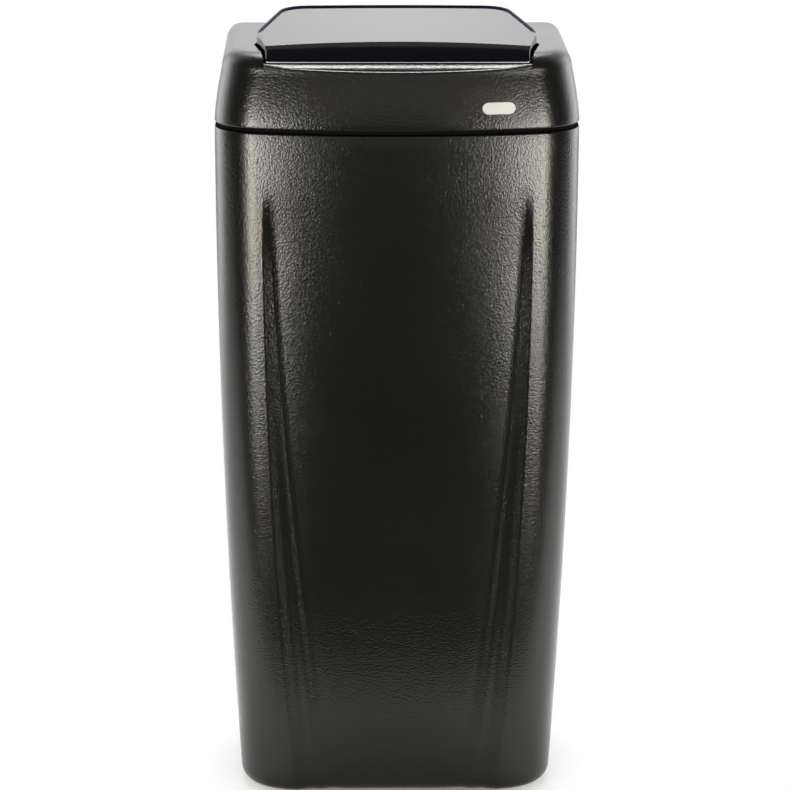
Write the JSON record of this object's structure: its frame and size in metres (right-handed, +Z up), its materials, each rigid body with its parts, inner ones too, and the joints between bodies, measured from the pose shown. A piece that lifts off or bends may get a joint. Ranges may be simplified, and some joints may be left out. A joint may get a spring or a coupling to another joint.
{
  "type": "wall-mounted waste bin",
  "caption": "Tapered black wall bin with a fluted front, hinged hood, see-saw push flap, slide latch, tilting bag frame and steel wall plate.",
  "frame": {"origin": "middle of the wall plate's back face, in the plane of the wall", "axes": "+Y into the wall (the bin's front faces -Y), +Z up, +X to the right seen from the front"},
  "size_m": [0.33, 0.25, 0.7237],
  "materials": {
    "textured_black_plastic": "fine pebble grain, semi-matte",
    "gloss_black_acrylic": "polished",
    "moulded_black_plastic": "matte moulded",
    "acetal_bush": "smooth moulded",
    "black_rubber": "matte",
    "galvanised_steel": "zinc plated",
    "bright_steel": "bright plated",
    "badge_grey": "satin, blank"
  },
  "bodies": {
    "bin_body": {"wall_plate": "galvanised_steel", "body_shell": "textured_black_plastic", "body_fixing_screw": "bright_steel", "fixing_washer": "bright_steel", "wall_pad_left": "black_rubber", "wall_pad_right": "black_rubber", "hinge_leaf_left": "bright_steel", "hinge_leaf_right": "bright_steel", "hinge_screw_left_a": "bright_steel", "hinge_screw_left_b": "bright_steel", "hinge_screw_right_a": "bright_steel", "hinge_screw_right_b": "bright_steel", "bag_bracket_left": "moulded_black_plastic", "bag_bracket_right": "moulded_black_plastic", "bracket_screw_left": "bright_steel", "bracket_screw_right": "bright_steel"},
    "bag_frame": {"bag_frame": "bright_steel"},
    "hood": {"hood_shell": "textured_black_plastic", "hinge_pin_left": "bright_steel", "hinge_pin_right": "bright_steel", "badge_plate": "badge_grey", "chute_frame": "moulded_black_plastic", "frame_screw_1": "bright_steel", "frame_screw_2": "bright_steel", "frame_screw_3": "bright_steel", "frame_screw_4": "bright_steel", "pivot_bush_left": "acetal_bush", "pivot_bush_right": "acetal_bush", "flap_bumper_left": "black_rubber", "flap_bumper_right": "black_rubber", "latch_housing": "moulded_black_plastic", "latch_screw_left": "bright_steel", "latch_screw_right": "bright_steel"},
    "latch": {"latch_bolt": "moulded_black_plastic"},
    "flap": {"flap_panel": "gloss_black_acrylic", "flap_tray": "moulded_black_plastic", "flap_pin_left": "bright_steel", "flap_pin_right": "bright_steel", "counterweight": "galvanised_steel", "weight_screw_left": "bright_steel", "weight_screw_right": "bright_steel"}
  },
  "joints": [
    {"name": "hood_hinge", "type": "hinge", "parent": "bin_body", "child": "hood", "pos_m": [0, -0.021, 0.259], "axis": [-1, 0, 0], "range_deg": [0, 60]},
    {"name": "flap_swing", "type": "hinge", "parent": "hood", "child": "flap", "pos_m": [0, -0.136, 0.252], "axis": [1, 0, 0], "range_deg": [0, 45]},
    {"name": "latch_slide", "type": "slide", "parent": "hood", "child": "latch", "axis": [0, -1, 0], "range_m": [0, 0.0065]},
    {"name": "bag_frame_tilt", "type": "hinge", "parent": "bin_body", "child": "bag_frame", "pos_m": [0, -0.0145, 0.116], "axis": [-1, 0, 0], "range_deg": [0, 18]}
  ]
}
